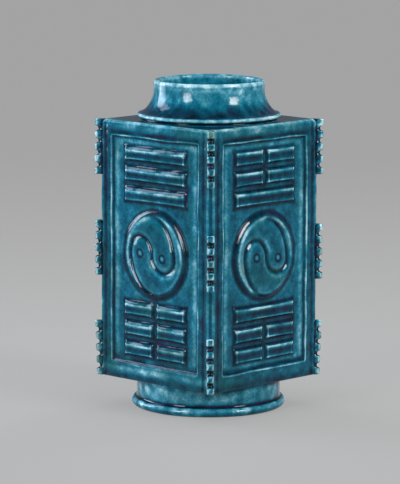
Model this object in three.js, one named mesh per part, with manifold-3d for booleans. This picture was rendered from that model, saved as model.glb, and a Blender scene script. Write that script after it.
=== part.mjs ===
// A square vase in the form of a ritual jade tube, slab built from stiff clay: four mitred walls
// stand on a base slab under a shoulder slab, with a thrown neck, a thrown foot, notched flanges
// on the corners, and trigram lines and roundels applied to the sunk panels.
import * as THREE from 'three';
import { mergeVertices } from 'three/addons/utils/BufferGeometryUtils.js';
import Module from 'manifold-3d';

const wasm = await Module();
wasm.setup();

// Driving dimensions in millimetres. The vase stands on z = 0 and its axis is +Z.
const SLIP = 0.3; // layer of joining slip between two pieces

// Trigram lines
const LINE_LENGTH = 73;
const LINE_HEIGHT = 12;
const LINE_GAP = 5.35; // between two lines of a trigram
const LINE_BREAK = 3.2; // gap in the middle of a broken line
const LINE_RELIEF = 2.3;
const LINE_SLOPE = 1.7; // lean of a line's ends and lower side
const LINE_TOP_SLOPE = 2.8; // lean of its upper side
const LINE_WAIST = 0.4; // how far a line's long edges pull in at mid-length
const LINE_NIP = 1; // off a line's corners
const LINE_HOLLOW = 0.5; // how far a line's ends pull in between their corners

// Roundel
const ROUNDEL_RADIUS = 37.3;
const ROUNDEL_RELIEF = 2.4; // at its rounded edge
const ROUNDEL_CROWN = 0.9; // extra height of the middle
const ROUNDEL_EDGE = 4.4; // width of the rounded edge
const ROUNDEL_GAP = 5.45; // to the trigrams above and below
const GROOVE_WIDTH = 3.4;
const GROOVE_DEPTH = 1.3;
const LOOP_RADIUS = 12.8; // half the width of the groove's loop round an eye
const LOOP_OVER = 14.6; // how far the groove swings over the left eye
const LOOP_UNDER = 12.6; // how far it swings under the right eye
const TAIL_RISE = 33; // how far the groove's tail climbs from the swirl's middle
const TAIL_SWEEP = 1.8; // angle in radians through which the tail sweeps
const SWIRL_SLANT = -0.09; // rise of the line through the eyes, per millimetre to the right
const EYE_OFFSET = 13.2; // from the swirl's middle
const EYE_RADIUS = 3.2; // middle of the ring cut round an eye
const EYE_RING_WIDTH = 1.6;
const EYE_RING_DEPTH = 0.8;

// Sunk panel and the frame round it
const PANEL_DEPTH = 2;
const PANEL_SLOPE = 1.8; // lean of the panel's rounded sides
const PANEL_SIDE_MARGIN = 13.1; // from the lines' ends
const PANEL_TOP_MARGIN = 7.15; // above the upper trigram
const PANEL_BOTTOM_MARGIN = 5.95; // below the lower trigram
const FRAME_SIDE = 16.5;
const FRAME_TOP = 13.9;
const FRAME_BOTTOM = 15;

// Slabs
const PANEL_WALL = 7; // clay behind the panel
const BASE_THICKNESS = 9;
const SHOULDER_THICKNESS = 8;
const CORNER_STRIP = 4.6; // flat pared along each corner
const BASE_ARRIS = 1.2; // eased edge under the base
const SHOULDER_ROUND = 3.2; // rounded edge of the shoulder

// Corner flanges
const LOBES = 5;
const LOBE_HEIGHT = 5.8;
const LOBE_EASE = 1.5; // rounding of a lobe's outer corners
const NOTCH_WIDTH = 4.6;
const NOTCH_DEPTH = 2.7;
const LOW_FLANGE_DROP = 3.4; // the back right corner's middle flange sits lower by this
const FLANGE_WEB = 2.8; // clay between a notch and the corner
const FLANGE_LAP = 0.95; // how far a flange laps over each face, and the width of its bevels

// Neck
const SHOULDER_LEDGE = 4.9; // from the ridge's edge to the face below it
const RIDGE_THICKNESS = 3;
const RIDGE_UNDERCUT = 2.7; // how far the collar under the ridge stands back
const COLLAR_HEIGHT = 2.4;
const COVE_REACH = 12.4; // how far the neck's hollow curve sweeps out
const COVE_HEIGHT = 20.5;
const COVE_FULLNESS = 1.75; // 2 is an ellipse, less is flatter
const NECK_STRAIGHT = 6;
const NECK_WALL = 4;
const LIP_HEIGHT = 2;

// Foot
const FOOT_SETBACK = 4.7; // from the face to the top of the foot
const FOOT_STEM = 17.6;
const FOOT_FLARE = 1;
const FOOT_WALL = 7.4;
const BEAD_HEIGHT = 7.6;
const BEAD_REACH = 3.5;

// Facets
const ROUND_SEGMENTS = 48;
const ROUNDEL_SEGMENTS = 40;
const EYE_SEGMENTS = 12;
const ARC_STEPS = 5;
const NOTCH_STEPS = 3;
const SHOULDER_STEPS = 3;
const COVE_STEPS = 7;
const GROOVE_STEPS = 40;
const RIM_STEPS = 4;

// Sizes that follow
const TRIGRAM_LINES = 3;
const LINE_PITCH = LINE_HEIGHT + LINE_GAP;
const TRIGRAM_HEIGHT = TRIGRAM_LINES * LINE_HEIGHT + (TRIGRAM_LINES - 1) * LINE_GAP;
const PANEL_WIDTH = LINE_LENGTH + 2 * PANEL_SIDE_MARGIN;
const PANEL_HEIGHT = PANEL_TOP_MARGIN + 2 * TRIGRAM_HEIGHT + 2 * ROUNDEL_GAP
  + 2 * ROUNDEL_RADIUS + PANEL_BOTTOM_MARGIN;
const HALF_BODY = PANEL_WIDTH / 2 + FRAME_SIDE;
const BODY_HEIGHT = FRAME_BOTTOM + PANEL_HEIGHT + FRAME_TOP;
const WALL_THICKNESS = PANEL_WALL + PANEL_DEPTH;
const FOOT_HEIGHT = BEAD_HEIGHT + FOOT_STEM;
const BODY_TOP = FOOT_HEIGHT + BODY_HEIGHT;
const WALL_BOTTOM = FOOT_HEIGHT + BASE_THICKNESS + SLIP;
const WALL_TOP = BODY_TOP - SHOULDER_THICKNESS - SLIP;
const CORNER_LEG = CORNER_STRIP / Math.SQRT2;
const CORNER_RADIUS = HALF_BODY * Math.SQRT2 - CORNER_STRIP / 2;
const PANEL_BOTTOM = FOOT_HEIGHT + FRAME_BOTTOM;
const LOWER_TRIGRAM = PANEL_BOTTOM + PANEL_BOTTOM_MARGIN;
const ROUNDEL_CENTRE = LOWER_TRIGRAM + TRIGRAM_HEIGHT + ROUNDEL_GAP + ROUNDEL_RADIUS;
const UPPER_TRIGRAM = ROUNDEL_CENTRE + ROUNDEL_RADIUS + ROUNDEL_GAP;
const FLANGE_HEIGHT = LOBES * LOBE_HEIGHT + (LOBES - 1) * NOTCH_WIDTH;
const FLANGE_REACH = FLANGE_WEB + NOTCH_DEPTH;
const FLANGE_THICKNESS = CORNER_STRIP + 2 * FLANGE_LAP;
const RIDGE_RADIUS = HALF_BODY - SHOULDER_LEDGE;
const NECK_RADIUS = RIDGE_RADIUS - RIDGE_THICKNESS / 2 - COVE_REACH;
const NECK_BORE = NECK_RADIUS - NECK_WALL;
const FOOT_TOP_RADIUS = HALF_BODY - FOOT_SETBACK;
const FOOT_LOW_RADIUS = FOOT_TOP_RADIUS + FOOT_FLARE;
const FOOT_BORE = FOOT_TOP_RADIUS - FOOT_WALL;

// Each trigram from its top line down: 1 is a whole line, 0 a broken one. swirl is how far the
// roundel's swirl lies off its centre, to the right and up.
const TRIGRAMS = {
  heaven: [1, 1, 1], earth: [0, 0, 0], thunder: [0, 0, 1], mountain: [1, 0, 0],
  water: [0, 1, 0], fire: [1, 0, 1], wind: [1, 1, 0], lake: [0, 1, 1],
};
const FACES = [
  { name: 'front', upper: 'heaven', lower: 'earth', swirl: [-2.7, -0.8] },
  { name: 'right', upper: 'thunder', lower: 'mountain', swirl: [1.6, -1.9] },
  { name: 'back', upper: 'water', lower: 'fire', swirl: [-1.5, 0] },
  { name: 'left', upper: 'wind', lower: 'lake', swirl: [1.5, -1] },
];
const CORNERS = ['front_right', 'back_right', 'back_left', 'front_left'];

const GLAZE = 0x19698a;
const THICK_GLAZE = 0x12506e;
const THIN_GLAZE = 0x3d8ea3;

function glazed(color) {
  return new THREE.MeshStandardMaterial({ color, roughness: 0.18, metalness: 0 });
}

function piece(name, geometry, color = GLAZE) {
  const mesh = new THREE.Mesh(geometry, glazed(color));
  mesh.name = name;
  return mesh;
}

// Closed solid that joins outlines of as many points each, stacked at rising heights.
function loft(outlines, heights) {
  const count = outlines[0].length;
  const positions = [];
  const indices = [];
  outlines.forEach((outline, level) => {
    outline.forEach((point) => positions.push(point.x, point.y, heights[level]));
  });
  for (let level = 0; level + 1 < outlines.length; level += 1) {
    for (let i = 0; i < count; i += 1) {
      const a = level * count + i;
      const b = level * count + (i + 1) % count;
      indices.push(a, b, b + count, a, b + count, a + count);
    }
  }
  const top = (outlines.length - 1) * count;
  THREE.ShapeUtils.triangulateShape(outlines[0], []).forEach(([a, b, c]) => {
    indices.push(c, b, a);
  });
  THREE.ShapeUtils.triangulateShape(outlines[outlines.length - 1], []).forEach(([a, b, c]) => {
    indices.push(top + a, top + b, top + c);
  });
  const geometry = new THREE.BufferGeometry();
  geometry.setAttribute('position', new THREE.Float32BufferAttribute(positions, 3));
  geometry.setIndex(indices);
  geometry.computeVertexNormals();
  return geometry;
}

// Points of an elliptical arc in a profile, both ends included.
function arc(x, y, radiusX, radiusY, from, to, steps) {
  return Array.from({ length: steps + 1 }, (_, i) => {
    const angle = from + (to - from) * i / steps;
    return new THREE.Vector2(x + radiusX * Math.cos(angle), y + radiusY * Math.sin(angle));
  });
}

// A revolved solid with its axis turned from Y to Z.
function turned(profile, segments) {
  return new THREE.LatheGeometry(profile, segments).rotateX(Math.PI / 2);
}

function toSolid(geometry) {
  const bare = geometry.clone();
  bare.deleteAttribute('normal');
  bare.deleteAttribute('uv');
  const merged = mergeVertices(bare);
  return new wasm.Manifold(new wasm.Mesh({
    numProp: 3,
    vertProperties: new Float32Array(merged.attributes.position.array),
    triVerts: new Uint32Array(merged.index.array),
  }));
}

function toGeometry(solid) {
  const mesh = solid.getMesh();
  const geometry = new THREE.BufferGeometry();
  geometry.setAttribute('position', new THREE.BufferAttribute(mesh.vertProperties, 3));
  geometry.setIndex(new THREE.BufferAttribute(mesh.triVerts, 1));
  geometry.computeVertexNormals();
  return geometry;
}

function cut(geometry, cutters) {
  const solid = cutters.reduce((rest, cutter) => rest.subtract(toSolid(cutter)), toSolid(geometry));
  return toGeometry(solid);
}

// Corners of a square with its corners pared flat, anticlockwise.
function paredSquare(half, leg) {
  const points = [];
  for (let quarter = 0; quarter < 4; quarter += 1) {
    const turn = quarter * Math.PI / 2;
    [[half, -half + leg], [half, half - leg]].forEach(([x, y]) => {
      points.push(new THREE.Vector2(x, y).rotateAround(new THREE.Vector2(), turn));
    });
  }
  return points;
}

function rectangle(width, height) {
  return [[-1, -1], [1, -1], [1, 1], [-1, 1]]
    .map(([x, y]) => new THREE.Vector2(x * width / 2, y * height / 2));
}

// One wall slab, mitred at both ends, with its sunk panel. It faces -Y.
function wallGeometry() {
  const mitre = SLIP / Math.SQRT2;
  const inner = HALF_BODY - WALL_THICKNESS;
  const rightHalf = [
    new THREE.Vector2(HALF_BODY - CORNER_LEG, -HALF_BODY),
    new THREE.Vector2(HALF_BODY - (CORNER_LEG + mitre) / 2, (CORNER_LEG - mitre) / 2 - HALF_BODY),
    new THREE.Vector2(inner - mitre, -inner),
  ];
  const leftHalf = rightHalf.map((point) => new THREE.Vector2(-point.x, point.y)).reverse();
  const plan = [...rightHalf, ...leftHalf];
  const slab = loft([plan, plan], [WALL_BOTTOM, WALL_TOP]);

  const clear = 1;
  const wide = (grow) => rectangle(PANEL_WIDTH + 2 * grow, PANEL_HEIGHT + 2 * grow);
  const sunk = loft(
    [wide(0), wide(PANEL_SLOPE * 0.35), wide(PANEL_SLOPE), wide(PANEL_SLOPE + clear)],
    [-PANEL_DEPTH, -PANEL_DEPTH * 0.4, 0, clear],
  );
  sunk.rotateX(Math.PI / 2);
  sunk.translate(0, -HALF_BODY, PANEL_BOTTOM + PANEL_HEIGHT / 2);
  return cut(slab, [sunk]);
}

// Flat slab over the walls, with a rounded edge and the hole under the neck.
function shoulderGeometry() {
  const round = arc(HALF_BODY - SHOULDER_ROUND, BODY_TOP - SHOULDER_ROUND, SHOULDER_ROUND,
    SHOULDER_ROUND, 0, Math.PI / 2, SHOULDER_STEPS);
  const levels = [new THREE.Vector2(HALF_BODY, BODY_TOP - SHOULDER_THICKNESS), ...round];
  const slab = loft(levels.map((level) => paredSquare(level.x, CORNER_LEG)),
    levels.map((level) => level.y));
  const drill = new THREE.CylinderGeometry(NECK_BORE, NECK_BORE, 3 * SHOULDER_THICKNESS,
    ROUND_SEGMENTS);
  drill.rotateX(Math.PI / 2);
  drill.translate(0, 0, BODY_TOP);
  return cut(slab, [drill]);
}

// Flat slab under the walls, with an eased lower edge.
function baseGeometry() {
  const outline = paredSquare(HALF_BODY, CORNER_LEG);
  const eased = paredSquare(HALF_BODY - BASE_ARRIS, CORNER_LEG);
  return loft([eased, outline, outline],
    [FOOT_HEIGHT, FOOT_HEIGHT + BASE_ARRIS, FOOT_HEIGHT + BASE_THICKNESS]);
}

// Thrown neck: collar, rounded ridge, hollow curve and rounded lip round a straight bore.
function neckGeometry() {
  const seat = BODY_TOP + SLIP;
  const ridgeBottom = BODY_TOP + COLLAR_HEIGHT;
  const edge = RIDGE_THICKNESS / 2;
  const coveBottom = ridgeBottom + RIDGE_THICKNESS;
  const coveTop = coveBottom + COVE_HEIGHT;
  const lipBottom = coveTop + NECK_STRAIGHT;
  const coveStart = RIDGE_RADIUS - edge;
  const cove = Array.from({ length: COVE_STEPS - 1 }, (_, i) => {
    const angle = Math.PI / 2 * (i + 1) / COVE_STEPS;
    const inward = Math.pow(Math.sin(angle), 2 / COVE_FULLNESS);
    const down = Math.pow(Math.cos(angle), 2 / COVE_FULLNESS);
    return new THREE.Vector2(coveStart - COVE_REACH * inward, coveTop - COVE_HEIGHT * down);
  });
  const profile = [
    new THREE.Vector2(NECK_BORE, seat),
    new THREE.Vector2(RIDGE_RADIUS - RIDGE_UNDERCUT, seat),
    new THREE.Vector2(RIDGE_RADIUS - RIDGE_UNDERCUT, ridgeBottom),
    ...arc(coveStart, ridgeBottom + edge, edge, edge, -Math.PI / 2, Math.PI / 2, ARC_STEPS),
    ...cove,
    new THREE.Vector2(NECK_RADIUS, coveTop),
    ...arc(NECK_RADIUS - NECK_WALL / 2, lipBottom, NECK_WALL / 2, LIP_HEIGHT, 0, Math.PI,
      ARC_STEPS),
    new THREE.Vector2(NECK_BORE, seat),
  ];
  return turned(profile, ROUND_SEGMENTS);
}

// Thrown foot: straight bore, rounded bead on the table and a stem that tapers up to the base.
function footGeometry() {
  const profile = [
    new THREE.Vector2(FOOT_BORE, 0),
    ...arc(FOOT_LOW_RADIUS, BEAD_HEIGHT / 2, BEAD_REACH, BEAD_HEIGHT / 2, -Math.PI / 2,
      Math.PI / 2, ARC_STEPS),
    new THREE.Vector2(FOOT_TOP_RADIUS, FOOT_HEIGHT - SLIP),
    new THREE.Vector2(FOOT_BORE, FOOT_HEIGHT - SLIP),
    new THREE.Vector2(FOOT_BORE, 0),
  ];
  return turned(profile, ROUND_SEGMENTS);
}

// Outline of a flange in the plane of the corner, x out and y up, drawn in by inset. Its root
// moves back by as much, along the faces beside the corner strip.
function flangeOutline(inset) {
  const ease = Math.min(LOBE_EASE, LOBE_HEIGHT / 3);
  const reach = FLANGE_REACH - inset;
  const top = FLANGE_HEIGHT - inset;
  const halfNotch = NOTCH_WIDTH / 2 + inset;
  const outer = [
    new THREE.Vector2(reach - ease, inset),
    new THREE.Vector2(reach, inset + ease),
  ];
  for (let notch = 1; notch < LOBES; notch += 1) {
    const middle = notch * (LOBE_HEIGHT + NOTCH_WIDTH) - NOTCH_WIDTH / 2;
    outer.push(new THREE.Vector2(reach, middle - halfNotch - ease / 2));
    outer.push(...arc(reach - ease / 2, middle, ease / 2 - NOTCH_DEPTH, halfNotch,
      -Math.PI / 2, Math.PI / 2, NOTCH_STEPS));
    outer.push(new THREE.Vector2(reach, middle + halfNotch + ease / 2));
  }
  outer.push(new THREE.Vector2(reach, top - ease));
  outer.push(new THREE.Vector2(reach - ease, top));
  return [new THREE.Vector2(-inset, inset), ...outer, new THREE.Vector2(-inset, top)];
}

// Notched flange with bevelled edges, seated on the corner strip and lapped over both faces.
function flangeGeometry() {
  const levels = [
    [-FLANGE_THICKNESS / 2, FLANGE_LAP], [-CORNER_STRIP / 2, 0],
    [CORNER_STRIP / 2, 0], [FLANGE_THICKNESS / 2, FLANGE_LAP],
  ];
  const plate = loft(levels.map(([, inset]) => flangeOutline(inset)),
    levels.map(([height]) => height));
  return plate.rotateX(Math.PI / 2);
}

// Outline of a trigram line, waisted at mid-length, with nipped corners and hollow ends. lean is
// 0 at its foot and 1 at its face.
function lineOutline(length, lean) {
  const x = length / 2 - lean * LINE_SLOPE;
  const low = lean * LINE_SLOPE - LINE_HEIGHT / 2;
  const high = LINE_HEIGHT / 2 - lean * LINE_TOP_SLOPE;
  const middle = (low + high) / 2;
  return [
    [-x, low + LINE_NIP], [-x + LINE_NIP, low], [0, low + LINE_WAIST], [x - LINE_NIP, low],
    [x, low + LINE_NIP], [x - LINE_HOLLOW, middle], [x, high - LINE_NIP], [x - LINE_NIP, high],
    [0, high - LINE_WAIST], [-x + LINE_NIP, high], [-x, high - LINE_NIP],
    [-x + LINE_HOLLOW, middle],
  ].map(([px, py]) => new THREE.Vector2(px, py));
}

// A line's sides rise steeply from the panel and round over to its flat face.
function lineGeometry(length) {
  const levels = [[0, 0], [0.45, 0.7], [1, 1]];
  return loft(levels.map(([lean]) => lineOutline(length, lean)),
    levels.map(([, rise]) => rise * LINE_RELIEF));
}

// Height of the roundel's crowned face at a distance from its centre.
function crownHeight(radius) {
  const share = Math.min(radius / ROUNDEL_RADIUS, 1);
  return ROUNDEL_RELIEF + ROUNDEL_CROWN * (1 - share * share);
}

// Puts a point of the swirl in its place on a roundel.
function swirled(x, y, swirl) {
  return new THREE.Vector2(x + swirl[0], y + SWIRL_SLANT * x + swirl[1]);
}

// The S line that parts the roundel: from the top down the right side, under one eye, up through
// the middle, over the other eye and down the left side to the bottom. Its ends run out.
function grooveCurve(swirl) {
  const sweepSteps = 9;
  const loopSteps = 8;
  const tailAndLoop = (loopHeight) => {
    const half = [];
    for (let i = 0; i < sweepSteps; i += 1) {
      const angle = TAIL_SWEEP * (1 - i / sweepSteps);
      half.push([2 * LOOP_RADIUS * Math.cos(angle), TAIL_RISE * Math.sin(angle)]);
    }
    for (let i = 0; i < loopSteps; i += 1) {
      const angle = -Math.PI * i / loopSteps;
      half.push([LOOP_RADIUS * (1 + Math.cos(angle)), loopHeight * Math.sin(angle)]);
    }
    return half;
  };
  const other = tailAndLoop(LOOP_OVER).map(([x, y]) => [-x, -y]).reverse();
  const route = [...tailAndLoop(LOOP_UNDER), [0, 0], ...other];
  return new THREE.CatmullRomCurve3(route.map(([x, y], i) => {
    const place = swirled(x, y, swirl);
    const lift = i === 0 || i === route.length - 1 ? GROOVE_DEPTH : 0;
    return new THREE.Vector3(place.x, place.y, crownHeight(place.length()) + lift);
  }));
}

// Crowned roundel with its dividing groove and a ring cut round each eye. It faces +Z.
function roundelGeometry(swirl) {
  const rim = ROUNDEL_RADIUS - ROUNDEL_EDGE;
  const profile = [
    new THREE.Vector2(0, 0),
    new THREE.Vector2(ROUNDEL_RADIUS, 0),
    ...arc(rim, 0, ROUNDEL_EDGE, crownHeight(rim), 0, Math.PI / 2, RIM_STEPS).slice(1),
    new THREE.Vector2(rim * 0.6, crownHeight(rim * 0.6)),
    new THREE.Vector2(0, crownHeight(0)),
  ];
  const disc = turned(profile, ROUNDEL_SEGMENTS);
  const diamond = new THREE.Shape([
    new THREE.Vector2(GROOVE_DEPTH, 0), new THREE.Vector2(0, GROOVE_WIDTH / 2),
    new THREE.Vector2(-GROOVE_DEPTH, 0), new THREE.Vector2(0, -GROOVE_WIDTH / 2),
  ]);
  const groove = new THREE.ExtrudeGeometry(diamond, {
    extrudePath: grooveCurve(swirl), steps: GROOVE_STEPS, bevelEnabled: false,
  });
  const eyes = [-1, 1].map((side) => {
    const place = swirled(side * EYE_OFFSET, 0, swirl);
    const height = crownHeight(place.length());
    const ring = turned([
      new THREE.Vector2(EYE_RADIUS - EYE_RING_WIDTH / 2, height),
      new THREE.Vector2(EYE_RADIUS, height - EYE_RING_DEPTH),
      new THREE.Vector2(EYE_RADIUS + EYE_RING_WIDTH / 2, height),
      new THREE.Vector2(EYE_RADIUS, height + EYE_RING_DEPTH),
      new THREE.Vector2(EYE_RADIUS - EYE_RING_WIDTH / 2, height),
    ], EYE_SEGMENTS);
    return ring.translate(place.x, place.y, 0);
  });
  return cut(disc, [groove, ...eyes]);
}

const wall = wallGeometry();
const flange = flangeGeometry();
const wholeLine = lineGeometry(LINE_LENGTH);
const halfLength = (LINE_LENGTH - LINE_BREAK) / 2;
const halfLine = lineGeometry(halfLength);

// The three lines of one trigram, numbered from the top, in the panel's frame.
function trigram(name, bottom) {
  const lines = [];
  TRIGRAMS[name].forEach((whole, row) => {
    const y = bottom + TRIGRAM_HEIGHT - LINE_HEIGHT / 2 - row * LINE_PITCH;
    if (whole) {
      const line = piece(`${name}_line_${row + 1}`, wholeLine, THIN_GLAZE);
      line.position.set(0, y, SLIP);
      lines.push(line);
      return;
    }
    [['left', -1], ['right', 1]].forEach(([sideName, side]) => {
      const line = piece(`${name}_line_${row + 1}_${sideName}`, halfLine, THIN_GLAZE);
      line.position.set(side * (halfLength + LINE_BREAK) / 2, y, SLIP);
      lines.push(line);
    });
  });
  return lines;
}

// One face of the body: its wall, and on the panel a trigram, the roundel and a trigram.
function face({ name, upper, lower, swirl }, quarter) {
  const group = new THREE.Group();
  group.rotation.z = quarter * Math.PI / 2;
  group.add(piece(`${name}_wall`, wall));

  const panel = new THREE.Group();
  panel.rotation.x = Math.PI / 2;
  panel.position.set(0, -HALF_BODY + PANEL_DEPTH, 0);
  const disc = piece(`${name}_roundel`, roundelGeometry(swirl), THIN_GLAZE);
  disc.position.set(0, ROUNDEL_CENTRE, SLIP);
  panel.add(disc, ...trigram(upper, UPPER_TRIGRAM), ...trigram(lower, LOWER_TRIGRAM));
  group.add(panel);
  return group;
}

// Three flanges up one corner: flush with the body's top, centred, and flush with its bottom.
function corner(name, quarter) {
  const group = new THREE.Group();
  group.rotation.z = quarter * Math.PI / 2 - Math.PI / 4;
  const free = BODY_HEIGHT - FLANGE_HEIGHT;
  const middle = free / 2 - (name === 'back_right' ? LOW_FLANGE_DROP : 0);
  [['lower', 0], ['middle', middle], ['upper', free]].forEach(([level, rise]) => {
    const plate = piece(`${name}_${level}_flange`, flange, THICK_GLAZE);
    plate.position.set(CORNER_RADIUS + SLIP, 0, FOOT_HEIGHT + rise);
    group.add(plate);
  });
  return group;
}

const vase = new THREE.Group();
vase.add(
  piece('foot_ring', footGeometry()),
  piece('base_slab', baseGeometry()),
  piece('shoulder_slab', shoulderGeometry()),
  piece('neck', neckGeometry()),
  ...FACES.map(face),
  ...CORNERS.map(corner),
);

export default vase;
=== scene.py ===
"""Looks of a square porcelain vase: soft relief under a turquoise glaze that runs thin and pale on
edges and pools dark in hollows. Shapes are worked out in millimetres and built in metres."""
import math

import bpy
import numpy as np
from mathutils import Matrix, Vector


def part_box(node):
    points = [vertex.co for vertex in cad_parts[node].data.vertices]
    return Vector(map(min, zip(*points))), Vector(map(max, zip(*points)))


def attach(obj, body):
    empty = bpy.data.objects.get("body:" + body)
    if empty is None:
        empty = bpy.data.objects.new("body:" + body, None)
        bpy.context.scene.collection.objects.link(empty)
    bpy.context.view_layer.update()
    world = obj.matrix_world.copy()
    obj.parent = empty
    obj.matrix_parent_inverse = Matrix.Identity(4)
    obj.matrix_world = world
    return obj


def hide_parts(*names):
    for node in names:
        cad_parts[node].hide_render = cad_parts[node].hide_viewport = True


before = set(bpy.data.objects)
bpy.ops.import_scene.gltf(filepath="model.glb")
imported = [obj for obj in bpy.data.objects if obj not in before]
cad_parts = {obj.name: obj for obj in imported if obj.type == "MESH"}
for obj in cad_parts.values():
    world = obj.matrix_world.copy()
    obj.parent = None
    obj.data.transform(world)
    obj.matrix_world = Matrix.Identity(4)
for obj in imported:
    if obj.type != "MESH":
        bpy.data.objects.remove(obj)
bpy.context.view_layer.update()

MM = 0.001
QUARTER = math.pi / 2


def box_mm(node):
    """Lowest and highest corner of a CAD node, in millimetres."""
    low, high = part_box(node)
    return np.array(low) / MM, np.array(high) / MM


# Sizes read from the frame
base_low, base_high = box_mm("base_slab")
shoulder_low, shoulder_high = box_mm("shoulder_slab")
flange_low, flange_high = box_mm("front_right_lower_flange")
roundel_low, roundel_high = box_mm("front_roundel")
wall_low, wall_high = box_mm("front_wall")
neck_high = box_mm("neck")[1]
foot_high = box_mm("foot_ring")[1]
HALF_BODY = base_high[0]
BODY_BOTTOM = base_low[2]
BODY_TOP = shoulder_high[2]
INNER_CEILING = shoulder_low[2]
INNER_FLOOR = base_high[2]
INNER_HALF = HALF_BODY - (wall_high[1] - wall_low[1])
LIP_TOP = neck_high[2]
RIDGE_RADIUS = neck_high[0]
BEAD_RADIUS = foot_high[0]
ROUNDEL_RADIUS = (roundel_high[0] - roundel_low[0]) / 2
ROUNDEL_CENTRE = (roundel_high[2] + roundel_low[2]) / 2
FLANGE_HEIGHT = flange_high[2] - flange_low[2]

# Body
CORNER_STRIP = 4.2  # flat pared along each corner
CORNER_LEG = CORNER_STRIP / math.sqrt(2)
CORNER_ROUND = 1.1  # rounding of the strip's two edges
SHOULDER_ROUND = 3.2
BASE_ARRIS = 1.4
FRAME_TOP = 12.1  # height of the frame over the panel
FRAME_BOTTOM = 13.2  # and of the sill under it
PANEL_HALF_WIDTH = 51.4
PANEL_TOP = BODY_TOP - FRAME_TOP
PANEL_BOTTOM = BODY_BOTTOM + FRAME_BOTTOM
PANEL_DEPTH = 2.0
PANEL_CORNER = 1.8
PANEL_SLOPE = 2.1  # width of the slope at the panel's top and sides
LEDGE_SLOPE = 3.8  # and at its bottom
PANEL_WAVER = 0.32  # of the panel's edge
GUTTER_DEPTH = 0.4  # of the soft gutters in the frame
TOP_GUTTER = 2.2  # from the panel's top
CORNER_GUTTER = 8.3  # from the corner
SILL_BARENESS = {"front": 1.0, "right": 0.1, "back": 0.4, "left": 0.4}  # how far glaze ran off it
LONG_STRAY = 0.16  # how far hand-worked clay strays from a true plane
SHORT_STRAY = 0.4 * LONG_STRAY

# Trigram lines
LINE_RELIEF = 2.4
LINE_SLOPE = 2.0  # at a line's ends and lower side
LINE_TOP_SLOPE = {"front": 3.8, "right": 2.1, "back": 2.6, "left": 2.6}
LINE_TOP_FOOT = 1.6  # of the top slope, above the line
LINE_WAIST = 0.45  # of the long edges, at mid-length
LINE_HOLLOW = 0.6  # of the ends, between their corners
LINE_CORNER_RISE = 0.3
LINE_SAG = 0.21  # of a line's face, below its edges
LINE_FILLET = 0.3
LINE_TILT = 0.006  # most that a line leans, as a slope
SKIRT = 3.0  # how far a piece's rim runs out under the panel
RIM_SUNK = 1.2  # how far its back lies under the panel

# Roundels
ROUNDEL_RELIEF = 2.4
ROUNDEL_CROWN = 0.9
ROUNDEL_EDGE = 5.2
ROUNDEL_FILLET = 0.4
ROUNDEL_SPOKES = 400
GROOVE_WIDTH = 1.4
GROOVE_DEPTH = 0.8
VALLEY_WIDTH = 4.2  # of the soft valley that the groove runs in
VALLEY_DEPTH = 1.25
LOOP_RADIUS = 12.8  # half the width of the groove's loop round an eye
LOOP_OVER = 14.6  # its swing over the left eye
LOOP_UNDER = 12.6  # and under the right eye
TAIL_RISE = 33.0  # over the swirl's middle
TAIL_SWEEP = 1.8  # in radians
ROUTE_POINTS = 90  # along each stretch of the groove
TAIL_END_POINTS = 8  # by which a tail's end is already cut a little
TAIL_FADE_POINTS = 34  # over which a tail fades in
SWIRL_SLANT = -0.09  # of the line through the eyes, as a slope
EYE_OFFSET = 13.2  # from the swirl's middle
EYE_RADIUS = 3.2  # middle of the ring cut round an eye
EYE_RING_WIDTH = 0.9
EYE_RING_DEPTH = 0.25
EYE_DOME = 0.12
# Painted highlight: each roundel's pale rim crest is made strongest towards this angle, on top of
# thin glaze there.
THIN_GLAZE_AND_HIGHLIGHT_SIDE = {"front": 75, "right": 160, "back": 120, "left": 60}  # angle where the rim is palest
# Middle of each swirl, from the roundel's
SWIRLS = {"front": (-2.7, -0.8), "right": (1.6, -1.9), "back": (-1.5, 0.0), "left": (1.5, -1.0)}

# Flanges
LOBES = 5
NOTCH_WIDTH = 4.6
LOBE_HEIGHT = (FLANGE_HEIGHT - (LOBES - 1) * NOTCH_WIDTH) / LOBES
NOTCH_DEPTH = 2.8
LOWER_LEAN = 0.03  # how the lower flanges lean in towards their foot, as a slope
FLANGE_REACH = 5.7
FLANGE_ROOT = 3.2  # how far a flange runs into the corner
FLANGE_THICKNESS = 6.6
FLANGE_EASE = 1.5  # rounding of a flange's two ends
FLANGE_SQUARENESS = 0.5  # 1 is a round section, less is squarer
FLANGE_STRAY = 0.14

# Neck
RIDGE_THICKNESS = 3.2
RIDGE_UNDERCUT = 2.7  # how far the collar under the ridge stands back
COLLAR_HEIGHT = 2.4
COVE_REACH = 12.4  # how far the hollow curve sweeps out
COVE_HEIGHT = 20.3
COVE_FULLNESS = 1.75  # 2 is an ellipse, less is flatter
NECK_WALL = 4.0
LIP_HEIGHT = 2.0
NECK_BORE = RIDGE_RADIUS - RIDGE_THICKNESS / 2 - COVE_REACH - NECK_WALL
SEAT_LAP = 0.8  # how far neck and foot reach into the body

# Foot
BEAD_HEIGHT = 7.6
BEAD_REACH = 3.5
FOOT_FLARE = 1.0
FOOT_WALL = 7.4

# Fineness of the turned pieces
TURNED_STEP = 0.4
TURNED_SEGMENTS = 320
TURNED_SOFTNESS = 0.45  # over which a profile's corners are smoothed

# Seeds of the wandering values, so that every run gives the same vase
SEEDS = {
    "panel_edge": 7, "long_stray": 11, "short_stray": 12, "neck_wobble": 21, "neck_lip": 22,
    "neck_mottle": 23, "foot_ring_wobble": 31, "foot_ring_mottle": 33, "flange_out": 41,
    "flange_side": 42, "flange_clouds": 43, "flange_flecks": 44, "panel_rim": 51,
    "slope_foot": 52, "corner_gutter": 53, "corner_edge": 54, "corner_strip": 55,
    "line_glaze": 56, "roundel_glaze": 57, "sill": 58, "line_top": 61, "line_tilt": 100,
}
LINE_TILT_SEEDS_PER_FACE = 40


# Small shape functions

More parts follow.
